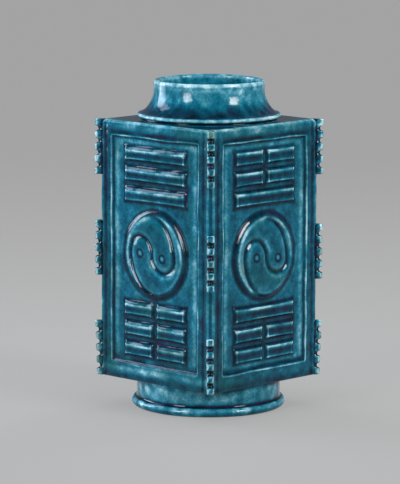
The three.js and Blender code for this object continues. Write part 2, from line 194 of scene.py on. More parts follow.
def ripple(points, wavelength, seed):
    """Smooth wandering value of about -1 to 1 at each point, the same on every run."""
    random = np.random.default_rng(SEEDS[seed])
    total = np.zeros(len(points))
    waves = 7
    for _ in range(waves):
        direction = random.normal(size=3)
        direction *= random.uniform(0.7, 1.4) * 2 * math.pi / wavelength / np.linalg.norm(direction)
        total += np.sin(points @ direction + random.uniform(0, 2 * math.pi))
    return total / math.sqrt(waves)


def ease(value):
    """0 below 0, 1 above 1, and a smooth rise between."""
    value = np.clip(value, 0, 1)
    return value * value * (3 - 2 * value)


def soft_ramp(distance, width, rounding):
    """Rises evenly from 0 at distance 0 to 1 at width, with its two bends rounded."""
    def bend(x):
        inner = np.clip(x + rounding, 0, 2 * rounding)
        return inner ** 2 / (4 * rounding) + np.maximum(x - rounding, 0)
    return (bend(distance) - bend(distance - width)) / width


def near(distance, width):
    """1 at distance 0, fading to nothing over about twice the width."""
    return np.exp(-(distance / width) ** 2)


def graded(stops):
    """Positions from stretches of (start, end, step)."""
    parts = []
    for start, end, step in stops:
        count = max(1, round((end - start) / step))
        parts.append(np.linspace(start, end, count, endpoint=False))
    return np.concatenate(parts + [[stops[-1][1]]])


def rounded_box(x, y, half_x, half_y, radius):
    """Distance inside the edge of a rounded rectangle, negative outside."""
    dx = np.abs(x) - (half_x - radius)
    dy = np.abs(y) - (half_y - radius)
    outside = np.hypot(np.maximum(dx, 0), np.maximum(dy, 0))
    return radius - outside - np.minimum(np.maximum(dx, dy), 0)


def quarter_turn(quarter):
    """Cosine and sine of a whole number of quarter turns."""
    return round(math.cos(quarter * QUARTER)), round(math.sin(quarter * QUARTER))


def to_world(quarter, u, z, height):
    """Points on a face: u to the right and z up as seen from outside, height out of the face."""
    cos, sin = quarter_turn(quarter)
    x, y, z = np.broadcast_arrays(u, -(HALF_BODY + height), z)
    return np.stack([x * cos - y * sin, x * sin + y * cos, z], axis=-1)


def to_face(quarter, low, high):
    """Middle and half size, in face coordinates, of a box given by its corners."""
    middle = (low + high) / 2
    half = (high - low) / 2
    cos, sin = quarter_turn(quarter)
    u = middle[0] * cos + middle[1] * sin
    half_u = abs(half[0] * cos) + abs(half[1] * sin)
    return u, middle[2], half_u, half[2]


def wander(place):
    """How far hand-worked clay strays from a true plane, in long and short waves."""
    return (LONG_STRAY * ripple(place, 38, "long_stray")
            + SHORT_STRAY * ripple(place, 13, "short_stray"))


# Relief of a face: each feature has its height and how thick the glaze lies on it, from -1 on a
# bare edge to 1 in a deep pool. Each band of glaze is an amount times where it lies; a few also
# carry painted highlight, as said where they are.

TRIGRAMS_ON = {
    "front": ("heaven", "earth"), "right": ("thunder", "mountain"),
    "back": ("water", "fire"), "left": ("wind", "lake"),
}
FACES = list(TRIGRAMS_ON)


def lines_on(face):
    """Each trigram line on a face: its node, its middle and its half sizes."""
    quarter = FACES.index(face)
    names = [n for n in sorted(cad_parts) if n.split("_")[0] in TRIGRAMS_ON[face]]
    return [(name, *to_face(quarter, *box_mm(name))) for name in names]


LINES = {face: lines_on(face) for face in FACES}


def strength(quarter, u, z, seed):
    """Varies a line of thin or thick glaze along its length, as a brushed coat does."""
    return 0.85 + 0.3 * ripple(to_world(quarter, u, z, 0), 24, seed)


def glaze_fillet(inside):
    """1 at a relief's edge, fading outwards, where glaze gathers, and in over its rim."""
    outwards = np.exp(np.minimum(inside, 0) / 0.9)
    return np.where(inside < 0, outwards, 1 - ease(inside / 1.4))


def panel_inside(quarter, u, z):
    """Distance inside the sunk panel's edge, which wavers a little."""
    waver = PANEL_WAVER * ripple(to_world(quarter, u, z, 0), 42, "panel_edge")
    middle = (PANEL_TOP + PANEL_BOTTOM) / 2
    half_height = (PANEL_TOP - PANEL_BOTTOM) / 2
    return waver + rounded_box(u, z - middle, PANEL_HALF_WIDTH, half_height, PANEL_CORNER)


def over_panel(u):
    """1 over the panel's width, easing to 0 beside it."""
    return ease((PANEL_HALF_WIDTH + 3 - np.abs(u)) / 4)


def wall_height(quarter, u, z):
    """Height of a wall's face: a frame with soft gutters round a sunk panel."""
    inside = panel_inside(quarter, u, z)
    ledge = ease((z - PANEL_BOTTOM) / LEDGE_SLOPE)
    sunk = -PANEL_DEPTH * ease(inside / PANEL_SLOPE) * ledge
    gutter = near(z - PANEL_TOP - TOP_GUTTER, 1.8) * over_panel(u)
    gutter = np.maximum(gutter, near(np.abs(u) - HALF_BODY + CORNER_GUTTER, 1.4))
    return sunk - GUTTER_DEPTH * gutter


def wall_glaze(face, u, z):
    """Glaze on a wall: thin on its edges, pooled at the foot of each slope and piece."""
    quarter = FACES.index(face)
    low = SILL_BARENESS[face]
    inside = panel_inside(quarter, u, z)
    sunk = ease((inside - 1) / 1.5)
    over_sill = z - PANEL_BOTTOM
    from_corner = HALF_BODY - np.abs(u)

    def varied(seed):
        return strength(quarter, u, z, seed)

    vary = varied("panel_rim")
    rim = -0.95 * near(inside - 0.1, 0.75) * vary * (1 - 0.6 * low * near(over_sill, 3))
    slope_foot = 0.75 * near(inside - 1.9, 0.9) * varied("slope_foot")
    margin = -0.50 * near(inside - 5.6, 3.0)
    frame_coat = 0.14 * ease((0.5 - inside) / 2)
    sill_pool = (0.65 + 0.3 * low) * near(over_sill - 3.6 - low, 1.7 + low) * sunk * vary
    sill = -(0.15 + 0.65 * low) * near(over_sill + 4.0, 3.4) * varied("sill")
    top_gutter = 0.65 * near(z - PANEL_TOP - TOP_GUTTER, 1.9) * over_panel(u) * vary
    corner_gutter = 0.60 * near(from_corner - CORNER_GUTTER, 1.7) * varied("corner_gutter")
    corner_edge = -0.60 * near(from_corner - CORNER_LEG - 1.2, 0.9) * varied("corner_edge")
    top_edge = -0.50 * ease((z - BODY_TOP + 9.5) / 5) * vary
    bottom_edge = 0.30 * ease((PANEL_BOTTOM - 6 - z) / 5)
    value = (rim + slope_foot + margin + frame_coat + sill_pool + sill + top_gutter
             + corner_gutter + corner_edge + top_edge + bottom_edge)
    for _, middle_u, middle_z, half_u, half_z in LINES[face]:
        edge = line_inside(u - middle_u, z - middle_z, half_u, half_z)
        value += 0.75 * near(edge + 0.3, 1.4) * sunk
    edge = ROUNDEL_RADIUS - np.hypot(u, z - ROUNDEL_CENTRE)
    return value + (0.70 * near(edge + 0.5, 1.5) - 0.15 * near(edge + 3.4, 1.2)) * sunk


def line_edges(a, b, half_length, half_height):
    """Distances inside a line's lower edge, its upper edge, whose slope is longer, and its ends."""
    along = np.clip(np.abs(a) / half_length, 0, 1)
    across = np.clip(np.abs(b) / half_height, 0, 1)
    waist = LINE_WAIST * (1 - along ** 4)
    lower = half_height - waist + b
    upper = half_height + LINE_TOP_FOOT - waist - b
    ends = half_length - LINE_HOLLOW * (1 - across ** 2) - np.abs(a)
    return lower, upper, ends


def line_inside(a, b, half_length, half_height):
    """Distance inside a trigram line's outline, negative outside."""
    return np.minimum.reduce(line_edges(a, b, half_length, half_height))


def line_height(lower, upper, ends, top_slope, waver):
    """Height of a trigram line over the panel, with the glaze fillet round it."""
    rise = (ease((lower + 0.4) / (LINE_SLOPE + 0.4))
            * soft_ramp(upper + 0.3 + 0.35 * waver, top_slope, 0.45)
            * ease((ends + 0.4) / (LINE_SLOPE + 0.6)))
    inside = np.minimum.reduce([lower, upper, ends])
    corner = near(lower - LINE_SLOPE, 1.3) + near(upper - top_slope, 1.5)
    corner *= near(ends - LINE_SLOPE, 1.4)
    sag = ease((lower - LINE_SLOPE) / 2) * ease((upper - top_slope) / 2)
    height = LINE_RELIEF + LINE_CORNER_RISE * corner - LINE_SAG * sag
    return height * rise + LINE_FILLET * glaze_fillet(inside)


def line_glaze(lower, upper, ends, top_slope, vary):
    """Glaze added on a line: thin at its top edge, thicker down its face, a thin lower rim."""
    along = ease(ends / 1.4)
    crest = upper - top_slope
    bare = near(crest, np.where(crest > 0, 1.7, 0.7))
    on_face = ease((crest - 0.6) / 3.6) * ease((lower - LINE_SLOPE + 0.3) / 0.9) * along

    top_edge = -bare * vary * along * ease(lower / 2)
    face = (0.66 - 0.42 * ease((6.5 - lower) / 4)) * on_face
    lower_rim = -0.70 * near(lower - LINE_SLOPE - 0.3, 0.7) * vary * along
    end_rims = -0.75 * near(ends - LINE_SLOPE, 0.8) * vary * ease(lower / 2) * ease(upper / 3)
    slope = 0.15 * ease((-0.3 - crest) / 0.8) * ease((upper + 0.5) / 0.8) * along
    return top_edge + face + lower_rim + end_rims + slope


def groove_route():
    """Points of the S line that parts the roundel, about the swirl's own middle."""
    sweep = np.linspace(TAIL_SWEEP, 0, ROUTE_POINTS, endpoint=False)
    turn = np.linspace(0, -math.pi, ROUTE_POINTS)
    tail = np.stack([2 * LOOP_RADIUS * np.cos(sweep), TAIL_RISE * np.sin(sweep)], axis=1)
    under, over = [np.stack([LOOP_RADIUS * (1 + np.cos(turn)), height * np.sin(turn)], axis=1)
                   for height in (LOOP_UNDER, LOOP_OVER)]
    return np.concatenate([tail, under, -over[::-1], -tail[::-1]])


GROOVE_ROUTE = groove_route()


def in_swirl(face, x, y):
    """Roundel coordinates moved and slanted into the swirl's own."""
    x = x - SWIRLS[face][0]
    return x, y - SWIRLS[face][1] - SWIRL_SLANT * x


def groove_at(face, x, y):
    """Distance from the groove, and 0 to 1 for how fully it is cut there."""
    x, y = in_swirl(face, x, y)
    best = np.full(np.shape(x), np.inf)
    place = np.zeros(np.shape(x))
    for index, (px, py) in enumerate(GROOVE_ROUTE):
        distance = (x - px) ** 2 + (y - py) ** 2
        closer = distance < best
        best = np.where(closer, distance, best)
        place = np.where(closer, index, place)
    from_end = np.minimum(place, len(GROOVE_ROUTE) - 1 - place)
    return np.sqrt(best), ease((from_end + TAIL_END_POINTS) / TAIL_FADE_POINTS)


def eye_distances(face, x, y):
    """Distances from the middles of the two eyes."""
    x, y = in_swirl(face, x, y)
    return [np.hypot(x - side * EYE_OFFSET, y) for side in (-1, 1)]


def roundel_height(face, x, y):
    """Height of the crowned roundel over the panel, with its groove, eyes and fillet."""
    radius = np.hypot(x, y)
    inside = ROUNDEL_RADIUS - radius
    crown = ROUNDEL_CROWN * (1 - np.clip(radius / ROUNDEL_RADIUS, 0, 1) ** 2)
    rim = np.clip(1 - inside / ROUNDEL_EDGE, 0, 1)
    height = (ROUNDEL_RELIEF + crown) * (1 - rim ** 2.2) ** 0.62
    height += ROUNDEL_FILLET * glaze_fillet(inside)
    distance, cut = groove_at(face, x, y)
    on_disc = ease((inside - 1) / 3)
    height -= GROOVE_DEPTH * near(distance, GROOVE_WIDTH) * on_disc * cut
    height -= VALLEY_DEPTH * near(distance, VALLEY_WIDTH) * on_disc * cut
    for from_eye in eye_distances(face, x, y):
        height -= EYE_RING_DEPTH * near(from_eye - EYE_RADIUS, EYE_RING_WIDTH)
        height += EYE_DOME * near(from_eye, 1.9)
    return height


def roundel_glaze(face, x, y, vary):
    """Glaze added on a roundel: pale rim crest and eye domes, partly painted highlight, dark groove
    and eye rings.
    """
    inside = ROUNDEL_RADIUS - np.hypot(x, y)
    distance, cut = groove_at(face, x, y)
    on_disc = ease((inside - 1) / 3)
    # Thinner glaze and painted highlight: the rim's pale crest is strongest towards one side.
    thin_and_highlight = 1 + 0.5 * np.cos(np.arctan2(y, x) - math.radians(THIN_GLAZE_AND_HIGHLIGHT_SIDE[face]))

    outer_slope = 0.55 * ease(inside) * (1 - ease((inside - 2.8) / 2.0))
    rim_crest = -0.65 * near(inside - ROUNDEL_EDGE - 0.2, 1.6 * thin_and_highlight) * vary * thin_and_highlight
    groove = 0.75 * near(distance, GROOVE_WIDTH * 1.1) * on_disc * cut
    groove_lips = -0.36 * near(distance - 3.9, 1.8) * on_disc * cut * vary
    middle = 0.12 * ease((distance - 6.5) / 4) * ease((inside - 7) / 3)
    value = outer_slope + rim_crest + groove + groove_lips + middle
    for from_eye in eye_distances(face, x, y):
        value += 0.80 * near(from_eye - EYE_RADIUS, EYE_RING_WIDTH)
        # Pale dome of each eye: thinner glaze and a painted highlight.
        value -= 0.70 * near(from_eye, 2.1)
    return value


# Building meshes

def grid_faces(rows, columns, wrap=True, ring=False):
    """Quads of a grid; wrap joins its last column to the first, and ring its last row."""
    i = np.arange(rows if ring else rows - 1)[:, None]
    j = np.arange(columns if wrap else columns - 1)
    k = (j + 1) % columns
    lower, upper = i * columns, (i + 1) % rows * columns
    corners = [lower + j, lower + k, upper + k, upper + j]
    return np.stack(corners, axis=-1).reshape(-1, 4).tolist()


def capped_faces(rows, columns):
    """Quads of rows that close on themselves, and a fan at each end, round the two points that
    come after the rows."""
    faces = grid_faces(rows, columns)
    total = rows * columns
    for j in range(columns):
        k = (j + 1) % columns
        faces.append([total, k, j])
        faces.append([total + 1, total - columns + j, total - columns + k])
    return faces


def build(name, points, faces, glaze, material, nodes):
    """Makes one glazed piece in place of its CAD nodes. Points are in millimetres."""
    mesh = bpy.data.meshes.new(name)
    mesh.from_pydata((points * MM).tolist(), [], [list(map(int, f)) for f in faces])
    mesh.attributes.new("glaze", "FLOAT", "POINT").data.foreach_set(
        "value", np.asarray(glaze, np.float32))
    mesh.polygons.foreach_set("use_smooth", [True] * len(mesh.polygons))
    mesh.materials.append(material)
    mesh.validate()
    piece = bpy.data.objects.new(name, mesh)
    bpy.context.scene.collection.objects.link(piece)
    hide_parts(*nodes)
    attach(piece, "root")


# Glaze material

def srgb(red, green, blue):
    """Linear colour of an 8-bit sRGB one."""
    def linear(value):
        value /= 255
        return value / 12.92 if value <= 0.04045 else ((value + 0.055) / 1.055) ** 2.4
    return (linear(red), linear(green), linear(blue), 1)


THICKNESS_COLOURS = [  # from bare to pooled
    (0.00, srgb(158, 194, 202)), (0.12, srgb(106, 156, 173)), (0.25, srgb(51, 123, 142)),
    (0.38, srgb(18, 97, 119)), (0.50, srgb(5, 79, 101)), (0.64, srgb(2, 58, 77)),
    (0.80, srgb(0, 38, 57)), (1.00, srgb(0, 18, 30)),
]
PATCHES = [  # tint, the noise's size and detail, where a patch starts in it, and in what glaze
    (srgb(8, 68, 64), 0.045, 4, (0.46, 0.66), (0.86, 0.55)),  # sea green
    (srgb(88, 116, 92), 0.030, 4, (0.50, 0.64), (0.46, 0.20)),  # olive, where it is thin
    (srgb(34, 26, 62), 0.020, 3, (0.52, 0.66), (0.62, 0.84)),  # purple, in its pools
]
PURPLE_SHARE = 0.6
IRON_SPOT = srgb(12, 26, 40)
SPOT_SHARE = 0.6
CRACKLE = srgb(24, 52, 64)
CRACKLE_SHARE = 0.16
CRACKLE_SIZE = 0.0046
MOTTLING = ((0.034, 3, 0.36), (0.0075, 4, 0.66), (0.0018, 3, 0.34))  # size, detail, amount
NOISE_ROUGHNESS = 0.55
GLAZE_ROUGHNESS = 0.09
GLAZE_IOR = 1.45
GLAZE_SPECULAR = 0.27
DIMPLE_SIZE = 0.0045
DIMPLE_DEPTH = 0.0004
DIMPLE_STRENGTH = 0.4


class Nodes:
    """Short ways to add and link shader nodes."""

    def __init__(self, tree):
        self.tree = tree
        tree.nodes.clear()

    def add(self, kind, **settings):
        node = self.tree.nodes.new(kind)
        for key, value in settings.items():
            setattr(node, key, value)
        return node

    def link(self, source, target):
        self.tree.links.new(source, target)

    def feed(self, value, socket):
        """Sets a socket to a plain value, or links another node's output to it."""
        if isinstance(value, (int, float, tuple)):
            socket.default_value = value
        else:
            self.link(value, socket)

    def math(self, operation, *values):
        node = self.add("ShaderNodeMath", operation=operation)
        for value, socket in zip(values, node.inputs):
            self.feed(value, socket)
        return node.outputs[0]

    def product(self, first, *others):
        """All the values multiplied together."""
        for value in others:
            first = self.math("MULTIPLY", first, value)
        return first

    def noise(self, vector, size, detail):
        """Noise whose features are about size metres across."""
        node = self.add("ShaderNodeTexNoise")
        node.inputs["Scale"].default_value = 1 / size
        node.inputs["Detail"].default_value = detail
        node.inputs["Roughness"].default_value = NOISE_ROUGHNESS
        self.link(vector, node.inputs["Vector"])
        return node.outputs["Fac"]

    def ramp(self, factor, stops):
        """Colour at factor, between stops of (position, colour)."""
        node = self.add("ShaderNodeValToRGB")
        elements = node.color_ramp.elements
        while len(elements) < len(stops):
            elements.new(0.5)
        for element, (position, colour) in zip(elements, stops):
            element.position = position
            element.color = colour
        self.link(factor, node.inputs["Fac"])
        return node.outputs["Color"]

    def mask(self, factor, dark, light):
        """0 where factor is at dark, 1 where it is at light."""
        return self.ramp(factor, sorted([(dark, (0, 0, 0, 1)), (light, (1, 1, 1, 1))]))

    def mix(self, factor, first, second):
        """Colour from first, at factor 0, to second, at 1."""
        node = self.add("ShaderNodeMix", data_type="RGBA")
        self.feed(factor, node.inputs[0])
        self.feed(first, node.inputs[6])
        self.feed(second, node.inputs[7])
        return node.outputs[2]


def glaze_colour(n, where, shift, olive, sea_green):
    """Colour by thickness, mottled, with its patches, specks and crackle."""
    thickness = n.add("ShaderNodeAttribute", attribute_name="glaze").outputs["Fac"]
    value = n.math("MULTIPLY_ADD", thickness, 0.5, 0.5 + shift)
    for size, detail, amount in MOTTLING:
        centred = n.math("SUBTRACT", n.noise(where, size, detail), 0.5)
        value = n.math("MULTIPLY_ADD", centred, amount, value)
    colour = n.ramp(value, THICKNESS_COLOURS)

    shares = (sea_green, olive, PURPLE_SHARE)
    for (tint, size, detail, patch_ends, glaze_ends), share in zip(PATCHES, shares):
        patch = n.mask(n.noise(where, size, detail), *patch_ends)
        suits = n.mask(value, *glaze_ends)
        colour = n.mix(n.product(patch, suits, share), colour, tint)
    specks = n.mask(n.noise(where, 0.0014, 2), 0.32, 0.27)
    colour = n.mix(n.product(specks, SPOT_SHARE), colour, IRON_SPOT)

    crackle = n.add("ShaderNodeTexVoronoi", feature="DISTANCE_TO_EDGE")
    crackle.inputs["Scale"].default_value = 1 / CRACKLE_SIZE
    n.link(where, crackle.inputs["Vector"])
    lines = n.mask(crackle.outputs["Distance"], 0.035, 0.0)
    return n.mix(n.product(lines, CRACKLE_SHARE), colour, CRACKLE)


def glaze_material(name, shift=0.0, olive=0.5, sea_green=0.55):
    """Turquoise glaze, as thick as the mesh attribute glaze says, plus shift; in places that
    attribute also carries painted shade and highlight. olive and sea_green say how strong those
    tints are."""
    material = bpy.data.materials.new(name)
    material.use_nodes = True
    n = Nodes(material.node_tree)
    where = n.add("ShaderNodeTexCoord").outputs["Object"]

    shader = n.add("ShaderNodeBsdfPrincipled")
    shader.inputs["Roughness"].default_value = GLAZE_ROUGHNESS
    shader.inputs["IOR"].default_value = GLAZE_IOR
    shader.inputs["Specular IOR Level"].default_value = GLAZE_SPECULAR
    n.link(glaze_colour(n, where, shift, olive, sea_green), shader.inputs["Base Color"])

    bump = n.add("ShaderNodeBump")
    bump.inputs["Strength"].default_value = DIMPLE_STRENGTH
    bump.inputs["Distance"].default_value = DIMPLE_DEPTH
    n.link(n.noise(where, DIMPLE_SIZE, 2), bump.inputs["Height"])
    n.link(bump.outputs["Normal"], shader.inputs["Normal"])

    output = n.add("ShaderNodeOutputMaterial")
    n.link(shader.outputs[0], output.inputs["Surface"])
    return material


body_glaze = glaze_material("body_glaze", olive=0.3)
thrown_glaze = glaze_material("thrown_glaze", olive=0.15, sea_green=0.15)
relief_glaze = glaze_material("relief_glaze")
flange_glaze = glaze_material("flange_glaze", shift=0.02, olive=0.6)


# Body: one skin over the walls, the base and the shoulder, with its hollow

CORNER_TANGENT = CORNER_ROUND * math.tan(math.pi / 8)
FACE_END = HALF_BODY - CORNER_LEG - CORNER_TANGENT


def corner_section():
    """Plan of the rounded and pared corner after the front face, with its outward normals."""
    angles = np.radians(np.linspace(-90, -45, 6)[1:])
    normals = np.stack([np.cos(angles), np.sin(angles)], axis=1)
    points = [FACE_END, CORNER_ROUND - HALF_BODY] + CORNER_ROUND * normals
    mirror = np.array([[0, -1], [-1, 0]])
    strip = np.linspace(points[-1], points[-1] @ mirror, 7)
    points = np.concatenate([points[:-1], strip, points[-2::-1] @ mirror])
    normals = np.concatenate([normals[:-1], [normals[-1]] * len(strip), normals[-2::-1] @ mirror])
    return points, normals


def face_columns():
    """Places across a face, closer together at the panel's edges."""
    edge = PANEL_HALF_WIDTH
    return graded([(-FACE_END, -edge - 2.6, 0.6), (-edge - 2.6, -edge + 4, 0.34),
                   (-edge + 4, edge - 4, 0.95), (edge - 4, edge + 2.6, 0.34),
                   (edge + 2.6, FACE_END, 0.6)])


def face_rows():
    """Heights up a face, closer together at the panel's edges."""
    return graded([(BODY_BOTTOM + BASE_ARRIS, PANEL_BOTTOM - 2, 0.7),
                   (PANEL_BOTTOM - 2, PANEL_BOTTOM + 6, 0.36),
                   (PANEL_BOTTOM + 6, PANEL_TOP - 4, 0.95), (PANEL_TOP - 4, PANEL_TOP + 2.6, 0.34),
                   (PANEL_TOP + 2.6, BODY_TOP - SHOULDER_ROUND, 0.5)])


def body_plan(inset=0.0):
    """Plan of the body drawn in by inset: points, outward normals, face and place along it."""
    columns = face_columns()
    corner_points, corner_normals = corner_section()
    corner_points = corner_points + [-inset, inset]
    flat = np.stack([columns * (1 - inset / FACE_END),
                     np.full(len(columns), inset - HALF_BODY)], axis=1)
    down = np.tile([0.0, -1.0], (len(columns), 1))
    points, normals, faces, along = [], [], [], []
    for quarter in range(4):
        cos, sin = quarter_turn(quarter)
        turn = np.array([[cos, sin], [-sin, cos]])
        points.append(np.concatenate([flat, corner_points]) @ turn)
        normals.append(np.concatenate([down, corner_normals]) @ turn)
        faces += [quarter] * len(columns) + [-1] * len(corner_points)
        along += list(columns) + [0.0] * len(corner_points)
    return np.concatenate(points), np.concatenate(normals), np.array(faces), np.array(along)


def strip_glaze(contour, height):
    """Glaze on the pared corners: thin on the strip's two edges, thicker between."""
    diagonal = np.abs(np.abs(contour[:, 0]) - np.abs(contour[:, 1])) / math.sqrt(2)
    place = np.column_stack([contour, np.full(len(contour), height)])
    vary = 1 + 0.35 * ripple(place, 18, "corner_strip")
    edge = 0.75 * near(diagonal - CORNER_STRIP / 2, 0.8) * vary
    return 0.35 - edge - 0.5 * ease((height - BODY_TOP + 5) / 4)


def build_body():
    """One closed skin in rows of points, from under the base, up and over, and down inside."""
    contour, normals, faces, along = body_plan()
    count = len(contour)
    rows, glaze = [], []

    def add(plan, height, thickness):
        rows.append(np.column_stack([plan, np.full(count, height)]))
        glaze.append(np.broadcast_to(thickness, count))

    def skin_glaze(height):
        thickness = strip_glaze(contour, height)
        for quarter, face in enumerate(FACES):
            mine = faces == quarter
            thickness[mine] = wall_glaze(face, along[mine], np.full(mine.sum(), height))
        return thickness

    # Underside and its eased edge
    eased = body_plan(BASE_ARRIS)[0]
    for share in (0.98, 0.8, 0.6, 0.4, 0.2, 0.08):
        add(eased * (1 - share), BODY_BOTTOM, 0.1)
    for angle in np.linspace(0, QUARTER, 6)[:-1]:
        add(body_plan(BASE_ARRIS * (1 - math.sin(angle)))[0],
            BODY_BOTTOM + BASE_ARRIS * (1 - math.cos(angle)), 0.1)

    # Faces
    for height in face_rows():
        relief = np.zeros(count)
        for quarter in range(4):
            mine = faces == quarter
            relief[mine] = wall_height(quarter, along[mine], np.full(mine.sum(), height))
        stray = wander(np.column_stack([contour, np.full(count, height)]))
        stray *= ease((BODY_TOP - SHOULDER_ROUND - height) / 4)
        add(contour + normals * (relief + stray)[:, None], height, skin_glaze(height))

    # Rounded edge of the shoulder, and its flat top in to the neck
    for angle in np.linspace(0, QUARTER, 11)[1:]:
        height = BODY_TOP - SHOULDER_ROUND * (1 - math.sin(angle))
        share = angle / QUARTER
        crest = -0.55 - 0.4 * near(share - 0.55, 0.3)
        add(body_plan(SHOULDER_ROUND * (1 - math.cos(angle)))[0], height,
            skin_glaze(height) * (1 - share) + crest * share)
    edge = body_plan(SHOULDER_ROUND)[0]
    towards = contour / np.linalg.norm(contour, axis=1)[:, None]
    hole = NECK_BORE + 0.6
    for share in (0.02, 0.05, 0.09, 0.14, 0.22, 0.32, 0.44, 0.58, 0.75, 0.9, 1.0):
        add(edge * (1 - share) + towards * hole * share, BODY_TOP,
            -0.70 * near(share, 0.05) + 0.40 * ease(share / 0.15))

    # Down the hole and round the hollow
    for share in (0.1, 0.5, 0.9):
        add(towards * NECK_BORE, BODY_TOP + (INNER_CEILING - BODY_TOP) * share, 0.2)
    inner = contour / HALF_BODY * INNER_HALF
    for share in (0.02, 0.5, 1.0):
        add(towards * hole * (1 - share) + inner * share, INNER_CEILING, 0.3)
    for share in (0.02, 0.25, 0.5, 0.75, 0.98):
        add(inner, INNER_CEILING + (INNER_FLOOR - INNER_CEILING) * share, 0.3)
    for share in (0.0, 0.3, 0.6, 0.85, 0.98):
        add(inner * (1 - share), INNER_FLOOR, 0.5)

    # Closed under the base and on the inner floor
    points = np.concatenate(rows + [[[0, 0, BODY_BOTTOM], [0, 0, INNER_FLOOR]]])
    nodes = [f"{face}_wall" for face in FACES] + ["base_slab", "shoulder_slab"]
    build("glazed_body", points, capped_faces(len(rows), count),
          np.concatenate(glaze + [[0.1, 0.5]]), body_glaze, nodes)


# Neck and foot, turned from profiles

def even_profile(points):
    """The same closed line with points an even step apart."""
    points = np.array(points, float)
    closed = np.concatenate([points, points[:1]])
    lengths = np.concatenate([[0], np.cumsum(np.linalg.norm(np.diff(closed, axis=0), axis=1))])
    places = np.arange(0, lengths[-1], TURNED_STEP)
    return np.stack([np.interp(places, lengths, closed[:, i]) for i in (0, 1)], axis=1)


def smooth_loop(points, sigma):
    """A closed line smoothed over about sigma points each way."""
    reach = int(3 * sigma) + 1
    weights = np.exp(-0.5 * (np.arange(-reach, reach + 1) / sigma) ** 2)
    weights /= weights.sum()
    return sum(w * np.roll(points, -offset, axis=0)
               for w, offset in zip(weights, range(-reach, reach + 1)))


def loop_glaze(profile):
    """Glaze thickness along a profile: thin where it bulges, pooled where it is hollow."""
    tangent = np.roll(profile, -1, axis=0) - np.roll(profile, 1, axis=0)
    tangent /= np.linalg.norm(tangent, axis=1)[:, None]
    outward = np.stack([tangent[:, 1], -tangent[:, 0]], axis=1)
    fine = ((smooth_loop(profile, 1.2 / TURNED_STEP) - profile) * outward).sum(axis=1) / 0.30
    wide = ((smooth_loop(profile, 3.5 / TURNED_STEP) - profile) * outward).sum(axis=1) / 1.1
    return 0.6 * fine + 0.6 * wide


def arc(cx, cy, rx, ry, start, end, count):
    """Points of an elliptic arc from start to end, in degrees."""
    angles = np.radians(np.linspace(start, end, count))
    return [(cx + rx * math.cos(a), cy + ry * math.sin(a)) for a in angles]


def build_turned(name, profile, node, wobble, mottle, shade):
    """Turns a closed profile of (radius, height) points, anticlockwise, into a glazed ring."""
    segments = TURNED_SEGMENTS
    line = smooth_loop(even_profile(profile), TURNED_SOFTNESS / TURNED_STEP)
    thickness = np.clip(loop_glaze(line), -0.5, 1) + shade(line)
    angles = np.arange(segments) * 2 * math.pi / segments
    radius, height = line.T[:, :, None]
    points = np.stack([radius * np.cos(angles), radius * np.sin(angles),
                       height + 0 * angles], axis=-1).reshape(-1, 3)
    vary = mottle * ripple(points, 9, f"{node}_mottle")
    move = wobble * ripple(points * [1, 1, 0.4], 60, f"{node}_wobble")
    length = np.linalg.norm(points[:, :2], axis=1)[:, None]
    points[:, :2] *= 1 + move[:, None] / length
    if node == "neck":
        at_lip = ease((points[:, 2] - LIP_TOP + 12) / 12)
        points[:, 2] += at_lip * (0.35 * ripple(points * [1, 1, 0], 70, "neck_lip") - 0.3)
    faces = grid_faces(len(line), segments, ring=True)
    build(name, points, faces, np.repeat(thickness, segments) + vary, thrown_glaze, [node])


def build_neck():
    """Collar, ridge, hollow curve and rounded lip."""
    seat = BODY_TOP - SEAT_LAP
    collar = RIDGE_RADIUS - RIDGE_UNDERCUT
    ridge_bottom = BODY_TOP + COLLAR_HEIGHT
    edge = RIDGE_THICKNESS / 2
    cove_bottom = ridge_bottom + RIDGE_THICKNESS
    cove_start = RIDGE_RADIUS - edge
    neck_radius = NECK_BORE + NECK_WALL
    angles = np.linspace(0, QUARTER, 26)[1:]
    power = 2 / COVE_FULLNESS
    reach = cove_start - neck_radius
    cove = [(cove_start - reach * math.sin(a) ** power,
             cove_bottom + COVE_HEIGHT * (1 - max(math.cos(a), 0) ** power)) for a in angles]
    lip = NECK_WALL / 2
    profile = ([(NECK_BORE, seat), (collar + 1.2, seat), (collar + 0.5, BODY_TOP + 0.4),
                (collar - 0.6, BODY_TOP + 1.1), (collar + 0.2, ridge_bottom)]
               + arc(cove_start, ridge_bottom + edge, edge, edge, -90, 90, 9) + cove
               + arc(neck_radius - lip, LIP_TOP - LIP_HEIGHT, lip, LIP_HEIGHT, 0, 180, 13))

    def shade(line):
        radius, height = line.T
        outside = radius > neck_radius - lip
        # Darker band on the collar under the ridge: glaze pooled there, and painted shade under the
        # ridge's overhang.
        pool_and_shade_under_ridge = 0.5 * near(height - BODY_TOP - COLLAR_HEIGHT / 2, 1.8)
        cove_pool = 0.30 * ease((cove_bottom + 11 - height) / 9) * (height > cove_bottom)
        upper = -0.50 * ease((height - LIP_TOP + 23) / 9)
        under_lip = 0.30 * near(height - LIP_TOP + 3.4, 1.6)
        ridge = -0.35 * near(height - ridge_bottom - edge, 1.5)
        lip_top = 0.22 * near(height - LIP_TOP, 1.8)
        bore = -0.15 * (1 - outside)
        return (pool_and_shade_under_ridge + cove_pool + upper + under_lip + ridge) * outside + lip_top + bore

    build_turned("glazed_neck", profile, "neck", 0.2, 0.12, shade)


